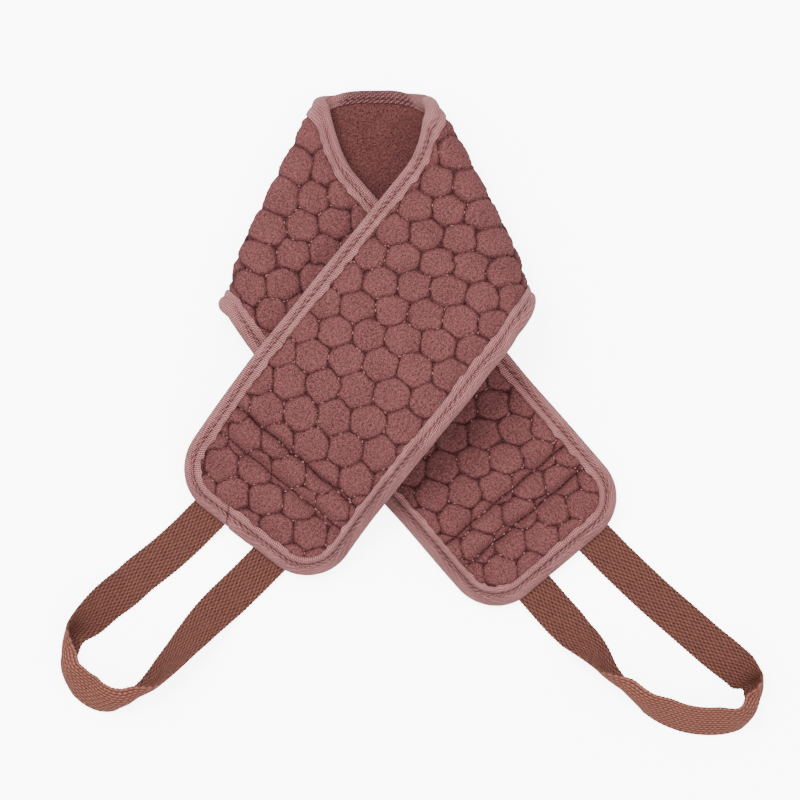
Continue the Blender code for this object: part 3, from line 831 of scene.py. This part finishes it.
def stitch_mesh(name, s, v, heading, height, length, radius, material, dip=0.00025):
    """Short arched bars of thread on a layer, each at its place on the belt and with its own heading."""
    point, along, across, outward = belt_frame(s, v)
    forward = along * np.cos(heading)[:, None] + across * np.sin(heading)[:, None]
    sideways = np.cross(outward, forward)
    x = np.array([-0.5, -0.4, 0.0, 0.4, 0.5])
    size = np.array([0.35, 0.9, 1.0, 0.9, 0.35])
    sink = -dip * (np.abs(x) * 2) ** 3
    turn = np.radians(np.arange(0, 360, 60))
    ring = (point[:, None, None]
            + forward[:, None, None] * (x[None, :, None] * length[:, None, None])[..., None]
            + sideways[:, None, None] * (radius * size[:, None] * np.cos(turn))[None, :, :, None]
            + outward[:, None, None] * (height[:, None, None] + sink[None, :, None]
                                        + radius * size[:, None] * np.sin(turn))[..., None])
    points = ring.reshape(len(s), 30, 3)
    i, j = np.indices((4, 6))
    quads = np.stack([i * 6 + j, (i + 1) * 6 + j, (i + 1) * 6 + (j + 1) % 6, i * 6 + (j + 1) % 6], -1)
    quads = quads.reshape(-1, 4)
    caps = np.array([(0, 1, 2, 3), (0, 3, 4, 5), (27, 26, 25, 24), (29, 28, 27, 24)])
    faces = (np.concatenate([quads, caps])[None] + 30 * np.arange(len(s))[:, None, None]).reshape(-1, 4)
    uv = np.broadcast_to(np.stack([s, v], -1)[:, None], (len(s), 30, 2))
    # most stitches get the dark colour, the painted shade of the stitch holes; about one in eight gets the
    # light one
    tone = np.repeat(rng.random(len(s)) < 0.12, 30) * 1.0
    piece = add_mesh(name, points, faces, material, uv, attributes={"tone": tone})
    fix_facing(piece)
    return piece


def circumcentre(a, b):
    matrix = 2 * np.array([a, b])
    return np.linalg.solve(matrix, np.array([a @ a, b @ b]))


def belt_place(place):
    """The point of the belt that lies here in the quilting's lattice."""
    s, v = place[:, 0] * 1.0, place[:, 1] * 1.0
    offset = quilt_place(np.zeros(1), np.zeros(1))[0]
    s, v = s - offset[0], v - offset[1]
    for _ in range(30):
        miss = quilt_place(s, v) - place
        s, v = s - 0.8 * miss[:, 0], v - 0.8 * miss[:, 1]
    return s, v, np.hypot(miss[:, 0], miss[:, 1])


F, D = CELL_FIRST, CELL_SECOND
corner_a, corner_b = circumcentre(F, D), circumcentre(D, D - F)
corner_c, corner_d = circumcentre(D - F, -F), circumcentre(F, F - D)
starts, finishes = [], []
for i in range(-40, 41):
    for j in range(-12, 13):
        middle = i * F + j * D
        for a, b in ((corner_a, corner_b), (corner_b, corner_c), (corner_a, corner_d)):
            starts.append(middle + a)
            finishes.append(middle + b)
starts, finishes = np.array(starts), np.array(finishes)
PER_EDGE = 6
shares = (np.arange(PER_EDGE) + 0.5) / PER_EDGE
places = (starts[:, None] + (finishes - starts)[:, None] * shares[None, :, None]).reshape(-1, 2)
places += rng.normal(0, 0.00022, places.shape)
heading = np.repeat(np.arctan2(*(finishes - starts).T[::-1]), PER_EDGE) + rng.normal(0, 0.14, len(places))
s, v, miss = belt_place(places)
clear = (miss < 0.0003) & (np.abs(v) < HALF - 0.0109)
clear &= (s > -UNDER_LENGTH + STITCH_MARGIN) & (s < FRONT_LENGTH - STITCH_MARGIN)
s, v, heading = s[clear], v[clear], heading[clear]
clear = inside_distance(s, v) > STITCH_MARGIN
s, v, heading = s[clear], v[clear], heading[clear]
for sign, along, slant, *_ in CROSS_ROWS:
    across = np.arange(-HALF + 0.0112, HALF - 0.0112, 0.0022)
    s = np.concatenate([s, sign * (along + slant * across)])
    v = np.concatenate([v, across])
    heading = np.concatenate([heading, np.full(len(across), np.pi / 2)])


def stretch_of(s, v):
    """The name of the stretch that each point lies on."""
    fold = fold_line(FRONT, v, 0.5)
    between = np.where(s > fold, "front", "back")
    return np.where(s < -END_LINE, "under_end", np.where(s > END_LINE, "front_end", between))


length = rng.normal(0.00150, 0.00022, len(s)).clip(0.0009, 0.0021)
for stretch in STRETCHES:
    here = stretch_of(s, v) == stretch
    height = layer_heights(s[here], v[here])[0]
    piece = stitch_mesh(f"quilt_stitches_{stretch}", s[here], v[here], heading[here], height + 0.00010,
                        length[here], 0.00025, THREAD)
    hinge_blend(piece, stretch)

# ---- handles ----

def smooth_route(route, count):
    knots = np.array([2 * np.array(route[0]) - route[1], *route, 2 * np.array(route[-1]) - route[-2]])
    fine = []
    for a, b, c, d in zip(knots, knots[1:], knots[2:], knots[3:]):
        for t in np.linspace(0.0, 1.0, 12, endpoint=False):
            fine.append(0.5 * (2 * b + (c - a) * t + (2 * a - 5 * b + 4 * c - d) * t ** 2
                               + (3 * b - a - 3 * c + d) * t ** 3))
    fine = np.array([*fine, knots[-2]])
    reach = np.concatenate([[0.0], np.cumsum(np.linalg.norm(np.diff(fine, axis=0), axis=1))])
    even = np.linspace(0.0, reach[-1], count)
    return np.stack([np.interp(even, reach, fine[:, k]) for k in (0, 1)], axis=1), reach[-1]


def along_loop(share, table):
    """A table's values along a loop, with its corners rounded off."""
    values = np.interp(share, *np.array(table).T)
    weights = np.exp(-np.linspace(-2.5, 2.5, 2 * int(len(share) * 0.02) + 1) ** 2)
    return np.convolve(np.pad(values, len(weights) // 2, mode="edge"), weights / weights.sum(), "valid")


def handle(sign, length, route, rolls, reaches, curls, end):
    edge, out, across = mid_edge(sign, length)
    _, total = smooth_route(route, 10)
    count = int(total / LOOP_STEP)
    plan, _ = smooth_route(route, count)
    centres = edge * (1, 1, 0) + plan[:, :1] * out + plan[:, 1:] * across
    tangents = unit(np.gradient(centres, axis=0))
    middle = centres.mean(axis=0)
    share = np.linspace(0, 1, count)
    inward = np.stack([-tangents[:, 1], tangents[:, 0], 0 * share], -1)
    inward *= np.sign(((middle - centres) * inward).sum(1))[:, None]
    roll = np.radians(along_loop(share, rolls))
    outermost = along_loop(share, reaches) * MM
    tight = sum(amount * np.exp(-((share - where) / reach) ** 2) for where, amount, reach in curls)
    upwards = np.array([0.0, 0.0, 1.0])
    width = inward * np.cos(roll)[:, None] + upwards * np.sin(roll)[:, None]
    bulge = upwards * np.cos(roll)[:, None] - inward * np.sin(roll)[:, None]
    # the tails, sewn in between the foam and the lining
    legs = []
    for which in (0, -1):
        reach = np.arange(TAIL_LENGTH, 0.0004, -LOOP_STEP)
        s_tail = sign * (length - reach)
        v_tail = np.full(len(reach), leg_middle(route[which][1], reaches[which][1]))
        height = layer_heights(s_tail, v_tail)[3] + 0.03 * MM + 0.75 * MM
        point, along, cross, normal = belt_frame(s_tail, v_tail)
        side = cross * np.sign((cross[-1] * width[which]).sum())
        legs.append((point + height[:, None] * normal, side))
    (a_point, a_side), (b_point, b_side) = legs
    before, after = len(a_point), len(b_point)
    span = np.linspace(-1, 1, int(WEBBING_WIDTH / 0.0004) + 1)
    chord = WEBBING_WIDTH * (1 - tight)
    sag = np.sqrt((WEBBING_WIDTH ** 2 - chord ** 2) * 3 / 16)
    section = (width[:, None] * (chord[:, None] / 2 * span)[..., None]
               + bulge[:, None] * (sag[:, None] * (1 - span ** 2))[..., None])
    furthest = -(section * inward[:, None]).sum(2).min(axis=1)
    section -= (inward * (outermost - furthest)[:, None])[:, None]
    root = 1.0 - smooth(plan[:, 0], 0.0, 0.018)
    centres[:, 2] = WEBBING_THICKNESS / 2 - section[..., 2].min(axis=1)
    centres[:, 2] += root * (BINDING_HEIGHT - WEBBING_THICKNESS / 2) - 0.0006 * root
    base = np.concatenate([
        a_point[:, None] + a_side[:, None] * (span * WEBBING_WIDTH / 2)[:, None],
        centres[:, None] + section,
        b_point[::-1, None] + b_side[::-1, None] * (span * WEBBING_WIDTH / 2)[:, None]])
    face = sheet_normals(base)
    rows = len(base)
    reach = (np.arange(rows) * LOOP_STEP)[:, None]
    place = span[None] * WEBBING_WIDTH / 2
    # the weave: ribs on one face, staggered floats on the other
    floats = np.cos(2 * np.pi * place / FLOAT_ACROSS) * np.cos(2 * np.pi * reach / FLOAT_ALONG)
    floats = np.sign(floats) * np.abs(floats) ** 0.6
    step = np.where(np.floor(place / RIB_SPACING + 0.5) % 2, np.pi, 0)
    ribs = (0.65 * np.cos(2 * np.pi * place / RIB_SPACING)
            + 0.45 * np.cos(2 * np.pi * reach / RIB_BREAK + step))
    uneven = rng.normal(0, 0.16, floats.shape)
    thin = np.sqrt(np.clip(1 - (np.abs(span) - 0.93).clip(0) ** 2 / 0.07 ** 2 * 0.85, 0, 1))
    half = WEBBING_THICKNESS / 2 * thin[None, :]
    edge_loops = 0.00018 * np.cos(2 * np.pi * reach / EDGE_LOOP) * (np.abs(span) > 0.99) * np.sign(span)
    sideways = unit(np.gradient(base, axis=1))
    base = base + sideways * edge_loops[..., None]
    upper = base + face * (half + 0.00011 * (ribs + uneven))[..., None]
    lower = base - face * (half + 0.00014 * (floats + uneven))[..., None]
    uv = np.stack(np.broadcast_arrays(reach, place), -1)
    # painted shade: light on the raised ribs and floats, dark in the gaps between them; the floats' face is
    # darker overall
    weave_shade = np.stack([0.62 + 0.85 * ribs + 0.8 * uneven, 0.26 + 0.36 * floats + 0.7 * uneven])
    piece = add_mesh(f"{end}_handle_webbing", np.stack([upper, lower]), slab_faces(rows, len(span)),
                     WEBBING, np.stack([uv, uv]), attributes={"weave_shade": weave_shade})
    fix_facing(piece)
    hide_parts(f"{end}_handle", f"{end}_handle_neck_tail", f"{end}_handle_outer_tail")
    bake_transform(piece)


handle(1, FRONT_LENGTH, FRONT_HANDLE_ROUTE, FRONT_HANDLE_ROLL, FRONT_HANDLE_REACH,
       FRONT_HANDLE_CURLS, "front")
handle(-1, UNDER_LENGTH, UNDER_HANDLE_ROUTE, UNDER_HANDLE_ROLL, UNDER_HANDLE_REACH,
       UNDER_HANDLE_CURLS, "under")

# ---- studio ----

def floor_paper():
    n = Nodes("floor_paper", specular=0.1)
    n.shader.inputs["Emission Color"].default_value = (1, 1, 1, 1)
    seen = n.add("ShaderNodeLightPath").outputs["Is Camera Ray"]
    n.link(n.math("MULTIPLY", seen, 6.0), n.shader.inputs["Emission Strength"])
    return n.finish((0.95, 0.95, 0.95, 1))


def area_light(name, place, target, size, power):
    light = bpy.data.lights.new(name, "AREA")
    light.energy, light.size = power, size
    thing = bpy.data.objects.new(name, light)
    thing.location = place
    thing.rotation_euler = (Vector(target) - Vector(place)).to_track_quat("-Z", "Y").to_euler()
    bpy.context.scene.collection.objects.link(thing)


floor_mesh = bpy.data.meshes.new("floor")
floor_mesh.from_pydata([(-3, -3, 0), (3, -3, 0), (3, 3, 0), (-3, 3, 0)], [], [(0, 1, 2, 3)])
floor_mesh.materials.append(floor_paper())
floor = bpy.data.objects.new("floor", floor_mesh)
bpy.context.scene.collection.objects.link(floor)

world = bpy.data.worlds.new("studio")
world.use_nodes = True
world.node_tree.nodes["Background"].inputs[0].default_value = (1, 1, 1, 1)
world.node_tree.nodes["Background"].inputs[1].default_value = 2.6
bpy.context.scene.world = world
area_light("key", (-0.5, 0.35, 1.3), (0, 0, 0), 0.7, 34)
area_light("fill", (0.7, -0.6, 1.1), (0, 0, 0), 0.9, 12)

ELEVATION = np.radians(78.0)
target = Vector((-0.0064, 0.0052, 0.0))
camera = bpy.data.objects.new("camera", bpy.data.cameras.new("camera"))
camera.data.lens, camera.data.sensor_width = 194.5, 36.0
camera.location = target + 2.5 * Vector((0, -np.cos(ELEVATION), np.sin(ELEVATION)))
camera.rotation_euler = (target - camera.location).to_track_quat("-Z", "Y").to_euler()
bpy.context.scene.collection.objects.link(camera)
bpy.context.scene.camera = camera
